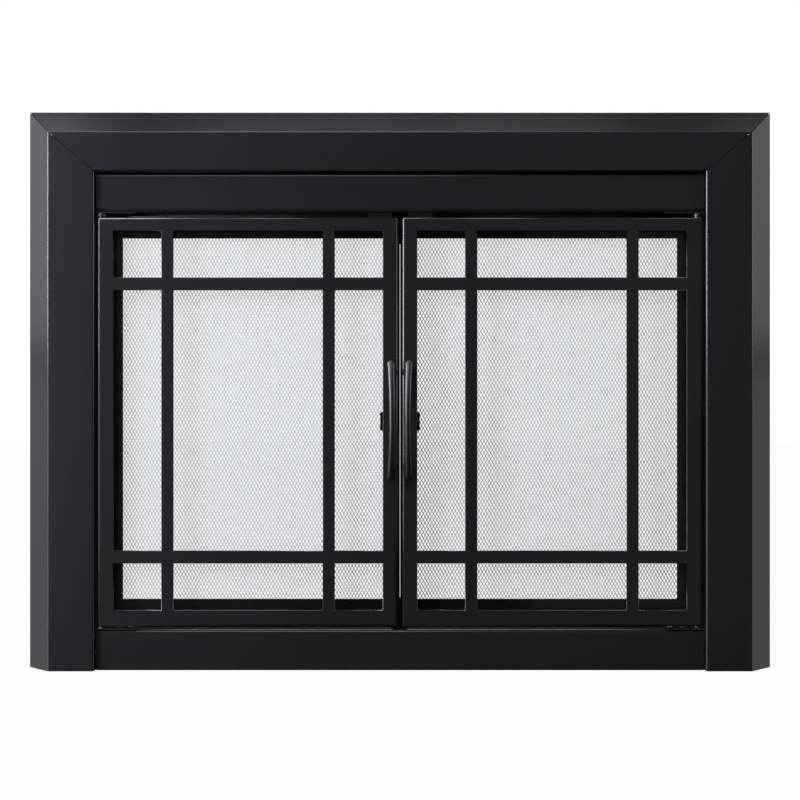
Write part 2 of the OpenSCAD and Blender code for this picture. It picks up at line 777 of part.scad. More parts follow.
// A flanged bush: its collar carries the strap and the door, and its shank is pressed into the bracket.
module bush(collar_z0, collar_z1, shank_z0, shank_z1) {
    difference() {
        union() {
            rod_z(pivot_x, pivot_y, collar_z0, collar_z1, bush_d / 2);
            rod_z(pivot_x, pivot_y, shank_z0, shank_z1, bush_shank_r);
        }
        rod_z(pivot_x, pivot_y, shank_z0 - bush_d, shank_z1 + bush_d, pin_bore_r);
    }
}

module pivot_bushes() {
    color(bright) both() {
        bush(top_collar_z, header_z0 - bracket_t, top_collar_z, header_z0);
        bush(bottom_panel_h + bracket_t, bottom_collar_z, bottom_panel_h, bottom_collar_z);
    }
}

// ---------- catches ----------

catch_screw_y = (catch_step_y + catch_y1) / 2;
catch_screw_z = door_z1 + catch_gap + catch_floor;

module catch_housings() {
    color([0.08, 0.08, 0.08]) both() difference() {
        union() {
            box([catch_x - catch_w / 2, catch_y0, door_z1 + catch_gap],
                [catch_x + catch_w / 2, catch_y1, header_z0]);
            box([catch_x - catch_w / 2, catch_step_y, mesh_z1 + catch_gap],
                [catch_x + catch_w / 2, catch_y1, door_z1 + catch_gap + cut]);
        }
        for (s = [-1, 1])
            rod_z(catch_x + s * catch_w / 4, catch_screw_y, catch_screw_z, header_z0 + cut, bracket_screw_r);
        catch_magnet_pair();
    }
}

// One magnet above the glass door's rim and one above the mesh door's top rail.
module catch_magnet_pair() {
    translate([catch_x - magnet[0] / 2, catch_y0 + magnet_wall, door_z1 + catch_gap]) cube(magnet);
    translate([catch_x - low_magnet[0] / 2, catch_step_y + low_magnet_wall, mesh_z1 + catch_gap])
        cube(low_magnet);
}

module catch_magnets() {
    color([0.3, 0.3, 0.32]) both() catch_magnet_pair();
}

module catch_screws() {
    color(bright) both() for (s = [-1, 1]) {
        rod_z(catch_x + s * catch_w / 4, catch_screw_y, header_z0 + sheet_t,
              header_z0 + sheet_t + clip_head_t, bracket_head_r);
        rod_z(catch_x + s * catch_w / 4, catch_screw_y, catch_screw_z, header_z0 + sheet_t,
              bracket_screw_r);
    }
}

// ---------- lintel clamps and floor brackets ----------

module lintel_clamp() {
    x0 = clamp_x - clamp_w / 2;
    x1 = clamp_x + clamp_w / 2;
    leg_z = web_z - strong_t;
    color(black) difference() {
        union() {
            box([x0, clamp_front_y, leg_z], [x1, clamp_reach, web_z]);
            box([x0, clamp_reach - strong_t, leg_z], [x1, clamp_reach, leg_z + clamp_up]);
        }
        for (y = clamp_slot) rod_z(clamp_x, y, leg_z - cut, web_z + cut, clamp_hole_r);
        box([clamp_x - clamp_hole_r, clamp_slot[0], leg_z - cut],
            [clamp_x + clamp_hole_r, clamp_slot[1], web_z + cut]);
        rod_y(clamp_x, clamp_bolt_z, clamp_reach - strong_t - cut, clamp_reach + cut, clamp_bolt_r);
    }
}

// The bolts that press forwards on the back of the lintel, each with a round pad and a hexagon head.
module clamp_bolts() {
    bolt_y1 = clamp_reach + clamp_bolt_out;
    bolt_y0 = bolt_y1 - clamp_bolt_l;
    color(bright) both() {
        rod_y(clamp_x, clamp_bolt_z, bolt_y0, bolt_y1, clamp_bolt_r);
        rod_y(clamp_x, clamp_bolt_z, bolt_y0 - clamp_pad_t, bolt_y0, clamp_pad_r);
        translate([clamp_x, bolt_y1, clamp_bolt_z]) rotate([-90, 0, 0])
            cylinder(r = clamp_head_r, h = clamp_head_t, $fn = 6);
    }
}

module clamp_slide_bolts() {
    shank = strong_t + sheet_t + slide_nut_t + slide_bolt_end;
    color(bright) both() for (y = slide_bolt_y) translate([clamp_x, y, web_z]) {
        translate([0, 0, -strong_t - slide_head_t]) cylinder(r = slide_nut_r, h = slide_head_t, $fn = 6);
        translate([0, 0, -strong_t]) cylinder(r = slide_bolt_r, h = shank);
        translate([0, 0, sheet_t]) difference() {
            cylinder(r = slide_nut_r, h = slide_nut_t, $fn = 6);
            translate([0, 0, -cut]) cylinder(r = slide_bolt_r, h = slide_nut_t + 2 * cut);
        }
    }
}

module floor_bracket() {
    color(black) difference() {
        union() {
            box([web_x - strong_t, floor_y[0], 0], [web_x, floor_y[1], floor_up]);
            box([web_x - floor_foot_w, floor_y[0], 0], [web_x, floor_y[1], strong_t]);
        }
        rod_z(floor_hole_x, (floor_y[0] + floor_y[1]) / 2, -cut, strong_t + cut, anchor_hole_r);
        for (z = floor_fix_z)
            rod_x((floor_y[0] + floor_y[1]) / 2, z, web_x - strong_t - cut, web_x + cut, screw_hole_r);
    }
}

// ---------- glass doors ----------

// The nine openings of a door, as a flat outline.
module panes() {
    for (x = pane_x, z = pane_z) rectangle(x[0], x[1], z[0], z[1]);
}

module sight_ring(s, outer, inner) {
    difference() {
        rectangle(s[0] - outer, s[1] + outer, s[2] - outer, s[3] + outer);
        rectangle(s[0] - inner, s[1] + inner, s[2] - inner, s[3] + inner);
    }
}

// What a fold of radius r takes off a square corner at the origin.
module corner_notch(r) {
    difference() {
        translate([-cut, -cut]) square(r + cut);
        translate([r, r]) circle(r);
    }
}

// A door frame's outer shape, seen from above and from the side.
module door_plan() {
    difference() {
        rectangle(door_x0, door_x1, door_y0, door_y1);
        translate([door_x0, door_y0]) corner_notch(meeting_fold_r);
        translate([door_x1, door_y0]) mirror([1, 0]) corner_notch(rim_fold_r);
    }
}

module door_profile() {
    difference() {
        rectangle(door_y0, door_y1, door_z0, door_z1);
        translate([door_y0, door_z0]) corner_notch(rim_fold_r);
        translate([door_y0, door_z1]) mirror([0, 1]) corner_notch(rim_fold_r);
    }
}

// The room inside a door frame's folded rim.
module door_hollow() {
    t = door_sheet_t;
    translate([0, 0, door_z0 + t]) linear_extrude(door_z1 - door_z0 - 2 * t) difference() {
        rectangle(door_x0 + t, door_x1 - t, door_back_y, door_y1 + cut);
        translate([door_x0 + t, door_back_y]) corner_notch(meeting_fold_r - t);
    }
}

module door_frame() {
    t = door_sheet_t;
    color(black) difference() {
        union() {
            difference() {
                intersection() {
                    translate([0, 0, door_z0]) linear_extrude(door_z1 - door_z0) door_plan();
                    along_x(door_x0, door_x1) door_profile();
                }
                door_hollow();
            }
            for (x = clip_boss_x, z = clip_z) rod_y(x, z, door_back_y - t / 2, glass_y1, clip_boss_r);
        }
        along_y(door_y0 - cut, door_back_y + cut) panes();
        for (x = clip_boss_x, z = clip_z) rod_y(x, z, clip_hole_y, glass_y1 + cut, clip_hole_r);
        for (z = foot_z) rod_y(foot_x, z, door_y0 - cut, door_back_y + cut, clip_hole_r);
        rod_z(pivot_x, pivot_y, door_z0 - cut, door_z1 + cut, pin_r);
    }
}

module glass() {
    color([0.75, 0.8, 0.82, 0.3]) along_y(glass_y0, glass_y1)
        rectangle(sight[0] - glass_lap, sight[1] + glass_lap, sight[2] - glass_lap, sight[3] + glass_lap);
}

module gasket() {
    color([0.2, 0.2, 0.2]) along_y(door_back_y, glass_y0) sight_ring(sight, glass_lap, 1);
}

module glass_clips() {
    color(bright) for (i = [0, 1], z = clip_z) difference() {
        box([min(clip_x[i]), glass_y1, z - clip_h / 2], [max(clip_x[i]), glass_y1 + clip_t, z + clip_h / 2]);
        rod_y(clip_boss_x[i], z, glass_y1 - cut, glass_y1 + clip_t + cut, clip_hole_r);
    }
}

module clip_screws() {
    color(bright) for (x = clip_boss_x, z = clip_z) {
        rod_y(x, z, clip_hole_y + hole_spare, glass_y1 + clip_t, clip_screw_r);
        rod_y(x, z, glass_y1 + clip_t, glass_y1 + clip_t + clip_head_t, clip_head_r);
    }
}

// Steel blocks in the door's two hinge corners, which the pivot pins are pressed into.
module pivot_blocks() {
    t = door_sheet_t;
    color(bright) difference() {
        union() {
            box([block_x0, door_back_y, top_block_z],
                [door_x1 - t, door_back_y + block_depth, door_z1 - t]);
            box([block_x0, door_back_y, door_z0 + t],
                [door_x1 - t, door_back_y + block_depth, bottom_block_z]);
        }
        rod_z(pivot_x, pivot_y, door_z0, door_z1, pin_r);
    }
}

module pivot_pins() {
    color(bright) {
        rod_z(pivot_x, pivot_y, top_block_z + hole_spare, header_z0 - hole_spare, pin_r);
        rod_z(pivot_x, pivot_y, bottom_panel_h + hole_spare, bottom_block_z - hole_spare, pin_r);
    }
}

// ---------- handles ----------

// One section of the grip at height u (-1 to 1 along its length).
function grip_section(u) =
    let (h = handle_h / 2, tip = max(0, (abs(u) * h - (h - grip_cap)) / grip_cap),
         k = sqrt(max(0.01, 1 - tip * tip)), q = u * u,
         a = k * (grip_mid_w + (grip_end_w - grip_mid_w) * q) / 2, b = k * grip_t / 2,
         x = handle_mid_x + (handle_end_x - handle_mid_x) * q,
         y = door_y0 - handle_mid_out + (handle_mid_out - handle_end_out) * q)
    [for (i = [0:handle_sides - 1])
        let (w = 360 * i / handle_sides) [x + a * cos(w), y + b * sin(w), handle_z + u * h]];

// Heights of the sections, closer together at the rounded tips.
grip_tip_u = grip_cap / (handle_h / 2);
grip_us = concat(
    [for (k = [4:-1:1]) -1 + grip_tip_u * (1 - cos(90 * (4 - k) / 4))],
    [for (k = [0:handle_rings]) (1 - grip_tip_u) * (2 * k / handle_rings - 1)],
    [for (k = [1:4]) 1 - grip_tip_u * (1 - cos(90 * (4 - k) / 4))]
);

module grip() {
    n = handle_sides;
    m = len(grip_us);
    points = [for (u = grip_us) each grip_section(u)];
    walls = [for (j = [0:m - 2], i = [0:n - 1])
        [(j + 1) * n + i, (j + 1) * n + (i + 1) % n, j * n + (i + 1) % n, j * n + i]];
    bottom = [for (i = [0:n - 1]) i];
    top = [for (i = [n - 1:-1:0]) (m - 1) * n + i];
    polyhedron(points, concat([bottom], walls, [top]));
}

module handle() {
    foot_top = door_y0 - handle_end_out - foot_sink;
    color([0.06, 0.06, 0.065]) difference() {
        union() {
            grip();
            for (z = foot_z) rod_y(foot_x, z, foot_top, door_y0, foot_d / 2);
        }
        for (z = foot_z) rod_y(foot_x, z, door_y0 - foot_bore_len, door_y0 + cut, foot_bore_r);
    }
}

module handle_screws() {
    color(bright) for (z = foot_z) {
        rod_y(foot_x, z, door_y0 - foot_bore_len + hole_spare, door_back_y, handle_screw_r);
        rod_y(foot_x, z, door_back_y, door_back_y + clip_head_t, clip_head_r);
    }
}

// ---------- mesh doors ----------

module mesh_frame() {
    t = mesh_sheet_t;
    color(black) difference() {
        box([mesh_x0, mesh_y0, mesh_z0], [mesh_x1, mesh_y1, mesh_z1]);
        box([mesh_x0 + t, mesh_back_y, mesh_z0 + t], [mesh_x1 - t, mesh_y1 + cut, mesh_z1 - t]);
        along_y(mesh_y0 - cut, mesh_back_y + cut)
            rectangle(mesh_sight[0], mesh_sight[1], mesh_sight[2], mesh_sight[3]);
        mesh_rivet_holes();
    }
}

module mesh() {
    color([0.25, 0.25, 0.26]) along_y(mesh_back_y, mesh_back_y + mesh_t)
        rectangle(mesh_sight[0] - mesh_lap, mesh_sight[1] + mesh_lap, mesh_sight[2] - mesh_lap,
                  mesh_sight[3] + mesh_lap);
}

module mesh_retainer() {
    color(black) along_y(retainer_y, retainer_y + retainer_t) sight_ring(mesh_sight, retainer_w, 1);
}

rivet_r = 1.6;
rivet_head_r = 2.8;
rivet_head_t = 1;
rivet_in = 6;         // from the mesh frame's window to the retainer's rivets
strap_rivet_x = [pivot_x - 16, pivot_x - 30];
strap_rivet_in = 7;   // from the mesh frame's ends to the straps' rivets
strap_rivet_z = [mesh_z1 - strap_rivet_in, mesh_z0 + strap_rivet_in];
retainer_rivets = concat(
    [for (k = [0.15, 0.5, 0.85], z = [mesh_sight[2] - rivet_in, mesh_sight[3] + rivet_in])
        [mesh_sight[0] + k * (mesh_sight[1] - mesh_sight[0]), z]],
    [for (x = [mesh_sight[0] - rivet_in, mesh_sight[1] + rivet_in], k = [0.22, 0.78])
        [x, mesh_sight[2] + k * (mesh_sight[3] - mesh_sight[2])]]
);

module mesh_rivet_holes() {
    for (x = strap_rivet_x, z = strap_rivet_z) rod_y(x, z, mesh_y0 - cut, mesh_back_y + cut, rivet_r);
    for (z = pull_foot_z) rod_y(pull_foot_x, z, mesh_y0 - cut, mesh_back_y + cut, rivet_r);
}

// Rivets that hold the straps and the pull, and the rows of rivet heads on the back of the retainer.
module mesh_rivets() {
    color(bright) {
        for (x = strap_rivet_x, z = strap_rivet_z) {
            rod_y(x, z, strap_leg_y, mesh_back_y, rivet_r);
            rod_y(x, z, mesh_back_y, mesh_back_y + rivet_head_t, rivet_head_r);
        }
        for (z = pull_foot_z) rod_y(pull_foot_x, z, pull_y, mesh_back_y, rivet_r);
        for (p = retainer_rivets)
            rod_y(p[0], p[1], retainer_y + retainer_t, retainer_y + retainer_t + rivet_head_t, rivet_head_r);
    }
}

// A strap whose eye turns on the glass door's pivot pin and whose leg is riveted to the mesh frame.
module hinge_strap(z0, leg_z0, leg_z1) {
    difference() {
        union() {
            rod_z(pivot_x, pivot_y, z0, z0 + strap_t, strap_eye_r);
            box([pivot_x - strap_reach, pivot_y, z0], [pivot_x, mesh_y0, z0 + strap_t]);
            box([pivot_x - strap_reach, strap_leg_y, leg_z0], [pivot_x - strap_leg_in, mesh_y0, leg_z1]);
        }
        rod_z(pivot_x, pivot_y, z0 - cut, z0 + strap_t + cut, pin_bore_r);
        for (x = strap_rivet_x, z = strap_rivet_z) rod_y(x, z, strap_leg_y - cut, mesh_y0 + cut, rivet_r);
    }
}

module hinge_straps() {
    color(bright) {
        hinge_strap(top_strap_z, sight[3] + strap_leg_end, top_strap_z + strap_t);
        hinge_strap(bottom_strap_z, bottom_strap_z, sight[2] - strap_leg_end);
    }
}

// A flat finger pull with two rounded lobes that reach out past the stile.
module mesh_pull() {
    lobe_x = pull_out - pull_end_r;
    lobe_z = [pull_z - pull_h / 2 + pull_end_r, pull_z + pull_h / 2 - pull_end_r];
    color([0.06, 0.06, 0.065]) difference() {
        union() {
            along_y(pull_y - pull_t, pull_y) {
                for (z = lobe_z) translate([lobe_x, z]) circle(pull_end_r);
                rectangle(lobe_x, lobe_x + pull_end_r - pull_waist, lobe_z[0], lobe_z[1]);
                rectangle(pull_foot_x - pull_foot_r, lobe_x, pull_foot_z[0] - pull_foot_r,
                          pull_foot_z[1] + pull_foot_r);
            }
            for (z = pull_foot_z) rod_y(pull_foot_x, z, pull_y - pull_t, mesh_y0, pull_foot_r);
        }
        for (z = pull_foot_z) rod_y(pull_foot_x, z, pull_y, mesh_y0 + cut, rivet_r);
    }
}

// ---------- nodes ----------

surround_top();
left() surround_side();  // surround_left
surround_side();  // surround_right
left() corner_gusset();  // corner_gusset_left
corner_gusset();  // corner_gusset_right
top_channel();
left() side_channel();  // side_channel_left
side_channel();  // side_channel_right
surround_studs();
frame_nuts();
header_panel();
bottom_panel();
frame_screws();
panel_spacers();
left() hinge_brackets();  // hinge_brackets_left
hinge_brackets();  // hinge_brackets_right
pivot_bushes();
bracket_screws();
stop_brackets();
catch_housings();
catch_magnets();
catch_screws();
left() lintel_clamp();  // lintel_clamp_left
lintel_clamp();  // lintel_clamp_right
clamp_bolts();
clamp_slide_bolts();
left() floor_bracket();  // floor_bracket_left
floor_bracket();  // floor_bracket_right
insulation_strips();
left() door_frame();  // left_door_frame
left() glass();  // left_glass
left() gasket();  // left_gasket
left() glass_clips();  // left_glass_clips
left() clip_screws();  // left_clip_screws
left() pivot_blocks();  // left_pivot_blocks
left() pivot_pins();  // left_pivot_pins
left() handle();  // left_handle
left() handle_screws();  // left_handle_screws
door_frame();  // right_door_frame
glass();  // right_glass
gasket();  // right_gasket
glass_clips();  // right_glass_clips
clip_screws();  // right_clip_screws
pivot_blocks();  // right_pivot_blocks
pivot_pins();  // right_pivot_pins
handle();  // right_handle
handle_screws();  // right_handle_screws
left() mesh_frame();  // left_mesh_frame
left() mesh();  // left_mesh
left() mesh_retainer();  // left_mesh_retainer
left() hinge_straps();  // left_hinge_straps
left() mesh_pull();  // left_mesh_pull
left() mesh_rivets();  // left_mesh_rivets
mesh_frame();  // right_mesh_frame
mesh();  // right_mesh
mesh_retainer();  // right_mesh_retainer
hinge_straps();  // right_hinge_straps
mesh_pull();  // right_mesh_pull
mesh_rivets();  // right_mesh_rivets
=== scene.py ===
import json
import math

import bmesh
import bpy
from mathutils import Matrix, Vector


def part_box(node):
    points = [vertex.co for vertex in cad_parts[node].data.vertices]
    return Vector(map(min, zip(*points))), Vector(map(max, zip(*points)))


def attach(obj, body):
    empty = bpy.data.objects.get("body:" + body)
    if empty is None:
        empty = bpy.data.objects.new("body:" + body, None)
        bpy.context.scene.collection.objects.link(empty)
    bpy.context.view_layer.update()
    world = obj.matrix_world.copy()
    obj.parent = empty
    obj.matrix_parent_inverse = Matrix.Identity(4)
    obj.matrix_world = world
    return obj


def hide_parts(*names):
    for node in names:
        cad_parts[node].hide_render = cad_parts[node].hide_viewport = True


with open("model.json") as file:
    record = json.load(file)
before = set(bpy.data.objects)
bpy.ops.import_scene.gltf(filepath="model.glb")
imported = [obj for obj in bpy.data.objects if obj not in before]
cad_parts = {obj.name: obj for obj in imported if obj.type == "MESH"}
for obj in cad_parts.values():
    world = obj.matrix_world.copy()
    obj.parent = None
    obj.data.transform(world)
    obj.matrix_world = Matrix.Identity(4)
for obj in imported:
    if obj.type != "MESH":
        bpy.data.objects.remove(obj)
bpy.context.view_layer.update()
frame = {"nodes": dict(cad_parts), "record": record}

MM = 0.001
SIDES = {"left": -1, "right": 1}   # and which way each lies along x

# ---------- camera ----------

CAMERA_AT = (0, -2.199, 0.3987)
LENS = 65.8               # mm
SENSOR = 36               # mm


def camera():
    """The photograph's level view from the front."""
    data = bpy.data.cameras.new("camera")
    data.lens = LENS
    data.sensor_width = SENSOR
    view = bpy.data.objects.new("camera", data)
    view.location = CAMERA_AT
    view.rotation_euler = (math.pi / 2, 0, 0)
    bpy.context.collection.objects.link(view)
    bpy.context.scene.camera = view


# ---------- materials ----------


class Wire:
    """An output socket of a paint. Sums and products of wires add Math nodes."""

    def __init__(self, paint, socket):
        self.paint = paint
        self.socket = socket

    def math(self, operation, a, b):
        return self.paint.node("ShaderNodeMath", {"operation": operation}, {0: a, 1: b})

    def __add__(self, other):
        return self.math("ADD", self, other)

    def __radd__(self, other):
        return self.math("ADD", other, self)

    def __rsub__(self, other):
        return self.math("SUBTRACT", other, self)

    def __mul__(self, other):
        return self.math("MULTIPLY", self, other)


class Paint:
    """A node tree being filled: a material's, or the world's."""

    def __init__(self, owner):
        self.owner = owner
        owner.use_nodes = True
        self.tree = owner.node_tree
        self.tree.nodes.clear()

    def node(self, kind, settings=None, sockets=None, out=0):
        """Adds a node, with its settings first and then its sockets' values or links."""
        made = self.tree.nodes.new(kind)
        for name, value in (settings or {}).items():
            setattr(made, name, value)
        for name, value in (sockets or {}).items():
            if isinstance(value, Wire):
                self.tree.links.new(value.socket, made.inputs[name])
            else:
                made.inputs[name].default_value = value
        return Wire(self, made.outputs[out])

    def place(self):
        """Where a point lies in its own piece, in metres."""
        return self.node("ShaderNodeTexCoord", out="Object")

    def noise(self, scale, detail, where=None):
        """Soft noise from 0 to 1, with scale spots to the metre."""
        where = where or self.place()
        sockets = {"Vector": where, "Scale": scale, "Detail": detail}
        return self.node("ShaderNodeTexNoise", {}, sockets, out="Fac")

    def blend(self, factor, first, second):
        """Mixes two colours."""
        settings = {"data_type": "RGBA"}
        return self.node("ShaderNodeMix", settings, {0: factor, 6: first, 7: second}, out=2)

    def bump(self, height, strength, distance):
        """A normal that follows a height from 0 to 1, which stands for the given distance."""
        return self.node("ShaderNodeBump", {}, {"Height": height, "Strength": strength, "Distance": distance})

    def surface(self, **sockets):
        """Ends the tree in a Principled shader, with sockets named by keyword."""
        named = {key.replace("_", " "): value for key, value in sockets.items()}
        shader = self.node("ShaderNodeBsdfPrincipled", {}, named)
        self.finish(shader)
        return self.owner

    def finish(self, shader, kind="ShaderNodeOutputMaterial"):
        """Ends the tree in the given shader."""
        last = self.tree.nodes.new(kind)
        self.tree.links.new(shader.socket, last.inputs["Surface"])


def rgb(r, g, b):
    return (r, g, b, 1)


COOL = rgb(0.84, 0.88, 1)   # the faint blue of the coats' shine

# Scales of the noises, in spots to the metre.
CLOUDS = 7
COAT_GRAIN = 650
PEEL = 420
BLOTCHES = 90
DRAWN_LINES = 500
FIBRES = 900
TUFTS = 120
BLACK_GRAIN = 1600

THREADS = 320               # scale of the weave, which makes about one thread to the millimetre

# How much closer the spots lie along each axis. Below 1 they are drawn out.
LINES_LIE = (1, 1, 14)
FIBRES_LIE = (1, 0.3, 0.2)

# From the lowest to the highest point of a relief.
PEEL_DEPTH = 0.4 * MM
LINES_DEPTH = 0.1 * MM
FIBRES_DEPTH = 1.2 * MM
THREADS_DEPTH = 0.3 * MM
GRAIN_DEPTH = 0.1 * MM

GLASS_IOR = 1.35
GLASS_SHINE = 0.7           # the share of its reflections that the glass shows
GLASS_ROUGHNESS = 0.02


def powder_coat(name, deep, pale, roughness, peel):
    """Satin powder coat: a faint orange peel, with the colour and the gloss a little uneven."""
    paint = Paint(bpy.data.materials.new(name))
    cloud = paint.noise(CLOUDS, 4)
    grain = paint.noise(COAT_GRAIN, 3)
    colour = paint.blend(cloud * 0.6 + grain * 0.4, deep, pale)
    gloss = roughness - 0.05 + cloud * 0.06 + grain * 0.04
    skin = paint.bump(paint.noise(PEEL, 2) + grain * 0.35, peel, PEEL_DEPTH)
    return paint.surface(Base_Color=colour, Roughness=gloss, Normal=skin, Specular_Tint=COOL)


def zinc_plate(name, deep, pale, roughness):
    """Zinc-plated steel: blotchy grey metal with fine drawn lines."""
    paint = Paint(bpy.data.materials.new(name))
    where = paint.place()
    long_way = paint.node("ShaderNodeMapping", {}, {"Vector": where, "Scale": LINES_LIE})
    blotch = paint.noise(BLOTCHES, 4, where)
    lines = paint.noise(DRAWN_LINES, 2, long_way)
    colour = paint.blend(blotch * 0.7 + lines * 0.3, deep, pale)
    gloss = roughness - 0.08 + blotch * 0.16
    skin = paint.bump(lines, 0.12, LINES_DEPTH)
    return paint.surface(Base_Color=colour, Roughness=gloss, Metallic=1, Normal=skin)


def clear_glass():
    """Tempered glass that lets nearly all the light through."""
    paint = Paint(bpy.data.materials.new("tempered_glass"))
    clear = paint.node("ShaderNodeBsdfTransparent", {}, {"Color": rgb(0.996, 0.998, 1)})
    sockets = {"Color": rgb(1, 1, 1), "Roughness": GLASS_ROUGHNESS}
    shine = paint.node("ShaderNodeBsdfGlossy", {}, sockets)
    facing = paint.node("ShaderNodeFresnel", {}, {"IOR": GLASS_IOR})
    paint.finish(paint.node("ShaderNodeMixShader", {}, {0: facing * GLASS_SHINE, 1: clear, 2: shine}))
    return paint.owner


def wool():
    """Pressed glass wool: grey fibres that lie every way, their grey darkened below the wool's own to paint
    the shade inside the surround's hollow.
    """
    paint = Paint(bpy.data.materials.new("glass_wool"))
    where = paint.place()
    drawn_out = paint.node("ShaderNodeMapping", {}, {"Vector": where, "Scale": FIBRES_LIE})
    fibres = paint.noise(FIBRES, 5, drawn_out)
    tufts = paint.noise(TUFTS, 4, where)
    # These greys are darker than the wool's own colour: painted shade of the hollow behind the surround that
    # it lies in.
    colour = paint.blend(fibres * 0.5 + tufts * 0.5, rgb(0.16, 0.155, 0.13), rgb(0.34, 0.33, 0.3))
    skin = paint.bump(fibres + tufts, 0.8, FIBRES_DEPTH)
    return paint.surface(Base_Color=colour, Roughness=0.95, Normal=skin)


def woven_tape():
    """Black glass-fibre tape with a fine plain weave."""
    paint = Paint(bpy.data.materials.new("gasket_tape"))
    where = paint.place()
    sockets = {"Vector": where, "Scale": THREADS}
    across = paint.node("ShaderNodeTexWave", {"bands_direction": "X"}, sockets, out="Fac")
    along = paint.node("ShaderNodeTexWave", {"bands_direction": "Z"}, sockets, out="Fac")
    weave = across * along
    colour = paint.blend(weave, rgb(0.012, 0.012, 0.013), rgb(0.05, 0.05, 0.052))
    skin = paint.bump(weave, 0.6, THREADS_DEPTH)
    return paint.surface(Base_Color=colour, Roughness=0.9, Normal=skin)


def dull_black(name):
    """Black that hardly shines, with a fine grain."""
    paint = Paint(bpy.data.materials.new(name))
    grain = paint.noise(BLACK_GRAIN, 2)
    colour = paint.blend(grain, rgb(0.002, 0.002, 0.0022), rgb(0.004, 0.004, 0.0045))
    skin = paint.bump(grain, 0.3, GRAIN_DEPTH)
    rough = 0.85 + grain * 0.1
    return paint.surface(Base_Color=colour, Roughness=rough, Normal=skin, Specular_IOR_Level=0.08)


COAT = powder_coat("powder_coat", rgb(0.0085, 0.009, 0.0112), rgb(0.0115, 0.0122, 0.0148), 0.18, 0.1)
CAST = powder_coat("cast_coat", rgb(0.004, 0.0042, 0.005), rgb(0.006, 0.0062, 0.0072), 0.33, 0.005)
# The mesh's strands are black: their pale blue-grey is painted light, standing in for the sheen they show
# under the lamps.
NET_PAINTED_SHEEN = powder_coat("net_painted_sheen", rgb(0.43, 0.48, 0.57), rgb(0.52, 0.57, 0.66), 0.45, 0.05)
ZINC = zinc_plate("zinc_plate", rgb(0.36, 0.37, 0.39), rgb(0.6, 0.61, 0.63), 0.32)
DARK_ZINC = zinc_plate("black_zinc", rgb(0.035, 0.037, 0.04), rgb(0.08, 0.082, 0.088), 0.42)
MAGNET = zinc_plate("magnet", rgb(0.12, 0.12, 0.13), rgb(0.2, 0.2, 0.21), 0.45)
GLASS = clear_glass()
WOOL = wool()
TAPE = woven_tape()
PLASTIC = dull_black("catch_plastic")
BLACKENED = dull_black("blackened_steel")

# ---------- making pieces ----------

MERGE = 0.002 * MM           # points closer than this are one point
FLAT = math.radians(0.5)     # faces that turn less than this are one face
SHARP = math.radians(28)     # edges that turn more than this are rounded
FULL_WEIGHT = 100            # lets the large faces alone set the shading at the edges


def body_of(node):
    """The moving body that a node belongs to."""
    bodies = frame["record"]["behaviour"]["bodies"]
    return next(name for name, nodes in bodies.items() if node in nodes)


def slot_of(node):
    """The finish that the record gives a node."""
    return next(row["material_slot"] for row in frame["record"]["subparts"] if row["node"] == node)


def piece(name, bm, material, node, replaced=True):
    """Makes a bmesh into a smooth-shaded piece that rides with a node and, when it replaces the node, hides
    it.
    """
    mesh = bpy.data.meshes.new(name)
    bm.to_mesh(mesh)
    bm.free()
    mesh.materials.append(material)
    mesh.shade_smooth()
    made = bpy.data.objects.new(name, mesh)
    bpy.context.collection.objects.link(made)
    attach(made, body_of(node))
    slot_of(node)
    if replaced:
        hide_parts(node)
    return made


def even_shading(made):
    """Keeps flats flat and rounds look round."""
    shading = made.modifiers.new("even_shading", "WEIGHTED_NORMAL")
    shading.keep_sharp = False
    shading.weight = FULL_WEIGHT


def copied(node):
    """A bmesh of a node's shape, with its triangles merged into whole faces."""
    bm = bmesh.new()
    bm.from_mesh(frame["nodes"][node].data)
    bmesh.ops.remove_doubles(bm, verts=bm.verts, dist=MERGE)
    bmesh.ops.dissolve_limit(bm, angle_limit=FLAT, verts=bm.verts, edges=bm.edges)
    return bm


def sharp_edges(bm):
    """The edges between two faces that meet at a clear angle."""
    return [e for e in bm.edges if len(e.link_faces) == 2 and e.calc_face_angle(0) > SHARP]


def rounded(bm, edges, radius, segments):
    """Rounds off the given edges."""
    bmesh.ops.bevel(bm, geom=edges, offset=radius, offset_type="OFFSET", segments=segments,
                    profile=0.5, affect="EDGES", clamp_overlap=True, material=-1)


def eased(bm, radius, segments=2):
    """Rounds off every sharp edge."""
    rounded(bm, sharp_edges(bm), radius, segments)


def finished(node, bm, material):
    """Makes a bmesh into the one piece that stands for a node."""
    even_shading(piece(f"{node}_finished", bm, material, node))


def dressed(node, material, radius, segments=2):
    """A copy of a node's shape with eased edges and a finish."""
    bm = copied(node)
    eased(bm, radius, segments)
    finished(node, bm, material)


# ---------- sheet-metal parts ----------

SHEET_EDGE = 0.3 * MM
MITRE_EDGE = 0.7 * MM     # rounding of the surround's mitred edges
SLANT = 0.3               # how far a mitred edge leans from upright and from level, as a sine
PANE_EDGE = 1.3 * MM      # rounding of the edges round the panes
PANEL_END = 1.3 * MM      # rounding of the header's and the bottom panel's ends
END_REACH = 12 * MM       # how far back from a panel's face its ends are rounded
PANE_SIDE = 50 * MM       # every edge of a pane is longer than this
WIDE_ROUND = 4            # segments of these wider roundings


def is_slanted(edge):
    """Whether an edge runs both sideways and upwards, as the edges of a mitre do."""
    along = (edge.verts[1].co - edge.verts[0].co).normalized()
    return min(abs(along.x), abs(along.z)) > SLANT


def surround():
    """The three sheets of the surround, whose mitred edges are rounded more than the others."""
    for node in ("surround_top", "surround_left", "surround_right"):
        bm = copied(node)
        rounded(bm, [e for e in sharp_edges(bm) if is_slanted(e)], MITRE_EDGE, WIDE_ROUND)
        eased(bm, SHEET_EDGE)
        finished(node, bm, COAT)


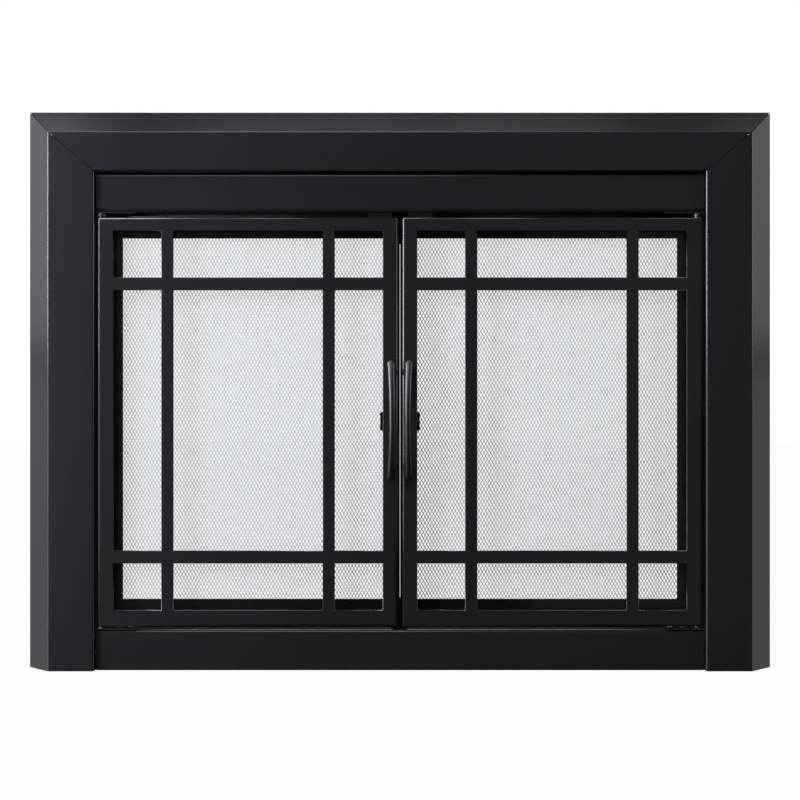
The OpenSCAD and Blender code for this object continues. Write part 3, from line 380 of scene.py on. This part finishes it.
def sheet_parts():
    """The frame's channels and brackets and the mesh doors' frames."""
    nodes = ["top_channel", "side_channel_left", "side_channel_right"]
    nodes += ["hinge_brackets_left", "hinge_brackets_right", "lintel_clamp_left", "lintel_clamp_right"]
    nodes += ["floor_bracket_left", "floor_bracket_right", "stop_brackets"]
    for side in SIDES:
        nodes += [f"{side}_mesh_frame", f"{side}_mesh_retainer"]
    for node in nodes:
        dressed(node, COAT, SHEET_EDGE)


def panels():
    """The header and the bottom panel, whose closed ends are rounded off."""
    for node in ("header_panel", "bottom_panel"):
        bm = copied(node)
        lo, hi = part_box(node)
        ends = [e for e in sharp_edges(bm)
                if all(hi.x - abs(v.co.x) < MERGE and v.co.y < lo.y + END_REACH for v in e.verts)]
        rounded(bm, ends, PANEL_END, WIDE_ROUND)
        finished(node, bm, COAT)


def door_frames():
    """The glass doors' frames, with softened edges round the panes."""
    for side in SIDES:
        node = f"{side}_door_frame"
        bm = copied(node)
        lo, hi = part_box(node)
        panes = [e for e in sharp_edges(bm)
                 if all(abs(v.co.y - lo.y) < MERGE for v in e.verts) and e.calc_length() > PANE_SIDE]
        rounded(bm, panes, PANE_EDGE, WIDE_ROUND)
        finished(node, bm, COAT)


# ---------- small parts ----------

# The small parts that keep their solids' shape, each group with its finish, the rounding of its edges and the
# rounding's segments. Each door has its own of the second list.
ON_FRAME = (
    (("corner_gusset_left", "corner_gusset_right"), BLACKENED, SHEET_EDGE, 2),
    (("surround_studs", "frame_nuts", "frame_screws"), ZINC, 0.35 * MM, 2),
    (("panel_spacers", "catch_screws", "clamp_bolts"), ZINC, 0.35 * MM, 2),
    (("bracket_screws", "clamp_slide_bolts"), DARK_ZINC, 0.35 * MM, 2),
    (("pivot_bushes",), DARK_ZINC, 1.2 * MM, 4),
    (("catch_housings",), PLASTIC, 0.4 * MM, 2),
    (("catch_magnets",), MAGNET, 0.2 * MM, 2),
)
ON_DOORS = (
    (("glass_clips", "clip_screws", "pivot_blocks"), ZINC, 0.3 * MM, 2),
    (("pivot_pins", "handle_screws", "mesh_rivets"), ZINC, 0.3 * MM, 2),
    (("hinge_straps",), DARK_ZINC, 0.25 * MM, 2),
    (("gasket",), TAPE, 0.2 * MM, 2),
    (("glass",), GLASS, 0.5 * MM, 1),
    (("mesh_pull",), CAST, 0.7 * MM, 3),
)
WOOL_EDGE = 2 * MM        # rounding of the insulation strips


def small_parts():
    """Screws, nuts, pins, catches, straps, gaskets, panes, finger pulls and insulation."""
    for nodes, finish, edge, segments in ON_FRAME:
        for node in nodes:
            dressed(node, finish, edge, segments)
    for side in SIDES:
        for parts, finish, edge, segments in ON_DOORS:
            for part in parts:
                dressed(f"{side}_{part}", finish, edge, segments)
    dressed("insulation_strips", WOOL, WOOL_EDGE, 3)


# ---------- handles ----------

GRIP_SIDES = 32           # corners of each ring
GRIP_RINGS = 72           # steps from end to end
GRIP_T = 8 * MM           # front to back
GRIP_MID_W = 8.8 * MM     # width at the middle
GRIP_END_W = 10.8 * MM    # width near the ends
GRIP_TIP = 5 * MM         # length of the round tips
TIP_SHUT = 0.004          # share of a section's area that is left at the end of a tip
END_OUT = 9 * MM          # from the door's face to the middle of the grip's ends
MID_X = 11.3 * MM         # from the doors' meeting line, at the middle
END_X = 13.4 * MM         # and at the ends
FOOT_R = 3.8 * MM         # radius of the feet
FOOT_FLARE = 1.15         # how much wider the feet are at the door
FLARE_H = 1 * MM          # how far the flare reaches from the door
FOOT_SINK = 2 * MM        # how far a foot goes into the grip
FOOT_SPACING = 145 * MM   # from the middle of one foot to the middle of the other

# The rings of a foot: how far each is from the door's face, and its radius.
FOOT = ((0, FOOT_R * FOOT_FLARE), (FLARE_H, FOOT_R), (END_OUT + FOOT_SINK, FOOT_R))
TURNS = [2 * math.pi * k / GRIP_SIDES for k in range(GRIP_SIDES)]


def lofted(bm, rings):
    """Skins a row of rings and closes both ends."""
    loops = [[bm.verts.new(point) for point in ring] for ring in rings]
    for low, high in zip(loops, loops[1:]):
        for i in range(len(low)):
            j = (i + 1) % len(low)
            bm.faces.new((low[i], low[j], high[j], high[i]))
    bm.faces.new(reversed(loops[0]))
    bm.faces.new(loops[-1])


def grip_x(u, side):
    """The middle of a grip's section at height u, sideways."""
    return side * (MID_X + (END_X - MID_X) * u * u)


def grip_ring(u, middle_z, half_h, side, front_y, door_y):
    """One section of a grip, at height u from -1 to 1."""
    past_tip = max(0, (abs(u) * half_h - (half_h - GRIP_TIP)) / GRIP_TIP)
    shrink = math.sqrt(max(TIP_SHUT, 1 - past_tip ** 2))
    half_w = shrink * (GRIP_MID_W + (GRIP_END_W - GRIP_MID_W) * u * u) / 2
    x = grip_x(u, side)
    mid_y = front_y + GRIP_T / 2
    y = mid_y + (door_y - END_OUT - mid_y) * u * u
    half_t = shrink * GRIP_T / 2
    return [(x + half_w * math.cos(t), y + half_t * math.sin(t), middle_z + u * half_h) for t in TURNS]


def handles():
    """A bowed bar on two round feet on each glass door."""
    for side, sign in SIDES.items():
        node = f"{side}_handle"
        lo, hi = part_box(node)
        middle_z = (lo.z + hi.z) / 2
        half_h = (hi.z - lo.z) / 2
        bm = bmesh.new()
        # The rings crowd together towards the round tips.
        heights = [math.sin(math.pi / 2 * (2 * k / GRIP_RINGS - 1)) for k in range(GRIP_RINGS + 1)]
        lofted(bm, [grip_ring(u, middle_z, half_h, sign, lo.y, hi.y) for u in heights])
        for z in (middle_z - FOOT_SPACING / 2, middle_z + FOOT_SPACING / 2):
            u = (z - middle_z) / half_h
            x = grip_x(u, sign)
            rings = [(hi.y - out, r) for out, r in FOOT]
            lofted(bm, [[(x + r * math.cos(t), y, z + r * math.sin(t)) for t in TURNS] for y, r in rings])
        bmesh.ops.recalc_face_normals(bm, faces=bm.faces)
        finished(node, bm, CAST)


# ---------- mesh ----------

NET_ACROSS = 5.0 * MM     # from cell to cell, sideways
NET_UP = 9.04 * MM        # from cell to cell, upwards
CELL_HALF_W = 1.72 * MM   # half the width of a cell's opening
CELL_HALF_H = 3.58 * MM   # half its height, at its pointed ends
BOND_HALF = 0.6 * MM      # half the height of the bond between two cells
NET_TWIST = -0.8          # how steeply the strands lean back from right to left
NET_T = 0.3 * MM          # thickness of the strands
NET_LAP = 5 * MM          # how far the strands go on behind the frame
SOLID_LAP = 12 * MM       # and how far the mesh's solid does


def face(bm, *points):
    """A flat face through points that are given sideways and upwards."""
    bm.faces.new([bm.verts.new((x, 0, z)) for x, z in points])


def net_node(bm, x, z):
    """One bond of the expanded mesh and the two strands that rise from it."""
    bond = NET_ACROSS / 2 - CELL_HALF_W
    notch = NET_UP / 2 - CELL_HALF_H
    face(bm, (x - bond, z - BOND_HALF), (x, z - notch), (x + bond, z - BOND_HALF),
         (x + bond, z + BOND_HALF), (x, z + notch), (x - bond, z + BOND_HALF))
    face(bm, (x, z + notch), (x + bond, z + BOND_HALF), (x + NET_ACROSS / 2, z + CELL_HALF_H),
         (x + CELL_HALF_W, z + NET_UP / 2 - BOND_HALF))
    face(bm, (x - CELL_HALF_W, z + NET_UP / 2 - BOND_HALF), (x - NET_ACROSS / 2, z + CELL_HALF_H),
         (x - bond, z + BOND_HALF), (x, z + notch))


def repeated(bm, step, count):
    """Repeats all that is in the bmesh, a step apart."""
    first = bm.verts[:] + bm.edges[:] + bm.faces[:]
    for k in range(1, count):
        copy = bmesh.ops.duplicate(bm, geom=first)["geom"]
        bmesh.ops.translate(bm, verts=[v for v in copy if isinstance(v, bmesh.types.BMVert)], vec=step * k)


def trimmed(bm, point, normal):
    """Cuts off all that lies beyond a plane."""
    bmesh.ops.bisect_plane(bm, geom=bm.verts[:] + bm.edges[:] + bm.faces[:], dist=MERGE, plane_co=point,
                           plane_no=normal, clear_outer=True)


def net(name, node, lo, hi):
    """Expanded mesh that fills the upright rectangle from lo to hi."""
    bm = bmesh.new()
    net_node(bm, 0, 0)
    net_node(bm, NET_ACROSS / 2, NET_UP / 2)
    repeated(bm, Vector((NET_ACROSS, 0, 0)), math.ceil((hi.x - lo.x) / NET_ACROSS) + 2)
    repeated(bm, Vector((0, 0, NET_UP)), math.ceil((hi.z - lo.z) / NET_UP) + 2)
    bmesh.ops.remove_doubles(bm, verts=bm.verts, dist=MERGE)
    for vert in bm.verts:
        # Each corner lies on the slope through the middle of its own bond.
        vert.co.y = NET_TWIST * math.remainder(vert.co.x, NET_ACROSS / 2)
    start = Vector((lo.x - NET_ACROSS, (lo.y + hi.y + NET_T) / 2, lo.z - NET_UP))
    bmesh.ops.translate(bm, verts=bm.verts, vec=start)
    trimmed(bm, lo, (-1, 0, 0))
    trimmed(bm, lo, (0, 0, -1))
    trimmed(bm, hi, (1, 0, 0))
    trimmed(bm, hi, (0, 0, 1))
    bmesh.ops.recalc_face_normals(bm, faces=bm.faces)
    bmesh.ops.solidify(bm, geom=bm.faces[:], thickness=NET_T)
    bmesh.ops.recalc_face_normals(bm, faces=bm.faces)
    made = piece(name, bm, NET_PAINTED_SHEEN, node, replaced=False)
    for polygon in made.data.polygons:
        polygon.use_smooth = False
    return made


def nets():
    """Each door's mesh, in two pieces that meet behind the middle of a muntin."""
    for side in SIDES:
        node = f"{side}_mesh"
        lo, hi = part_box(node)
        inset = SOLID_LAP - NET_LAP
        lo = Vector((lo.x + inset, lo.y, lo.z + inset))
        hi = Vector((hi.x - inset, hi.y, hi.z - inset))
        seam = lo.z + round((hi.z - lo.z) / 2 / NET_UP) * NET_UP
        upper = net(f"{side}_mesh_upper", node, Vector((lo.x, lo.y, seam)), hi)
        lower = net(f"{side}_mesh_lower", node, lo, Vector((hi.x, hi.y, seam)))
        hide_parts(node)
        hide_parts(node)


# ---------- room ----------

AIR_LIGHT = 0.005     # light that comes from all sides, for every ray but the camera's
FLOOR_WHITE = 0.97    # how white the floor looks to the camera; the rest of it shows shadows
FLOOR_GREY = 0.2      # the colour of that rest
FLOOR_HALF = 12       # metres from the middle of the floor to its sides
FLOOR_Z = -0.2 * MM   # just under the hearth line, so that no face lies in the floor
LAMPS_AIM = (0, 0, 0.42)   # where every lamp points

# Each lamp: degrees from the front towards the left, then in metres its distance, the height of its middle,
# its width and how tall it is, then watts.
LAMPS = {
    "left_front_strip": (52, 2.2, 0.9, 0.5, 2.4, 15),
    "left_upper_strip": (65, 2.2, 1.25, 0.6, 1.5, 92),
    "left_lower_strip": (65, 2.2, -0.05, 0.6, 1.1, 14),
    "left_softbox": (80, 2.2, 1.25, 0.6, 1.5, 14),
    "left_back_upper": (97, 2.2, 1.25, 0.7, 1.5, 4.1),
    "left_back_lower": (97, 2.2, -0.05, 0.7, 1.1, 1.6),
    "front_left_softbox": (30, 3, 0.7, 0.8, 2.2, 3.2),
    "front_upper_fill": (14, 3, 1.3, 0.8, 1.4, 0.2),
    "front_lower_fill": (14, 3, 0, 0.8, 1.2, 0.1),
    "front_right_softbox": (-16, 3, 0.7, 0.8, 2.2, 0.5),
    "right_upper_softbox": (-75, 2.2, 1.2, 0.8, 1.5, 19.7),
    "right_lower_softbox": (-75, 2.2, -0.05, 0.8, 1.1, 3.4),
    "right_back_upper": (-97, 2.2, 1.25, 0.7, 1.5, 3.7),
    "right_back_lower": (-97, 2.2, -0.05, 0.7, 1.1, 1.7),
    "top_softbox": (0, 0.4, 2.7, 1.2, 1.2, 14),
    "top_front_softbox": (10, 2.2, 2.4, 1.2, 0.8, 20),
    "top_left_softbox": (70, 1.3, 2.6, 1.2, 1.2, 18),
    "top_right_softbox": (-70, 1.3, 2.6, 1.2, 1.2, 7),
    "back_softbox": (180, 2.2, 1.8, 1.6, 1, 30),
}


def lamp(name, turn, distance, height, width, tall, power):
    """A soft lamp that the camera doesn't see."""
    turn = math.radians(turn)
    at = Vector((-distance * math.sin(turn), -distance * math.cos(turn), height))
    data = bpy.data.lights.new(name, "AREA")
    data.shape = "RECTANGLE"
    data.size = width
    data.size_y = tall
    data.energy = power
    made = bpy.data.objects.new(name, data)
    made.location = at
    made.rotation_euler = (Vector(LAMPS_AIM) - at).to_track_quat("-Z", "Y").to_euler()
    made.visible_camera = False
    bpy.context.collection.objects.link(made)


def room():
    """A pale floor, a white surround for the camera and soft lamps on all sides."""
    scene = bpy.context.scene
    scene.view_settings.view_transform = "Standard"
    world = Paint(bpy.data.worlds.new("studio"))
    seen = world.node("ShaderNodeLightPath", out="Is Camera Ray")
    strength = seen + (1 - seen) * AIR_LIGHT
    shader = world.node("ShaderNodeBackground", {}, {"Color": rgb(1, 1, 1), "Strength": strength})
    world.finish(shader, "ShaderNodeOutputWorld")
    scene.world = world.owner

    bm = bmesh.new()
    bmesh.ops.create_grid(bm, x_segments=1, y_segments=1, size=FLOOR_HALF)
    bmesh.ops.translate(bm, verts=bm.verts, vec=(0, 0, FLOOR_Z))
    mesh = bpy.data.meshes.new("floor")
    bm.to_mesh(mesh)
    bm.free()
    floor = bpy.data.objects.new("floor", mesh)
    bpy.context.collection.objects.link(floor)
    paint = Paint(bpy.data.materials.new("floor"))
    grey = paint.node("ShaderNodeBsdfDiffuse", {}, {"Color": rgb(FLOOR_GREY, FLOOR_GREY, FLOOR_GREY)})
    white = paint.node("ShaderNodeEmission", {}, {"Color": rgb(1, 1, 1), "Strength": 1.0})
    paint.finish(paint.node("ShaderNodeMixShader", {}, {0: FLOOR_WHITE, 1: grey, 2: white}))
    mesh.materials.append(paint.owner)
    # The lower lamps reach below the floor, so only the camera sees it.
    floor.visible_diffuse = False
    floor.visible_glossy = False
    floor.visible_shadow = False

    for name, row in LAMPS.items():
        lamp(name, *row)


camera()
surround()
sheet_parts()
panels()
door_frames()
small_parts()
handles()
nets()
room()
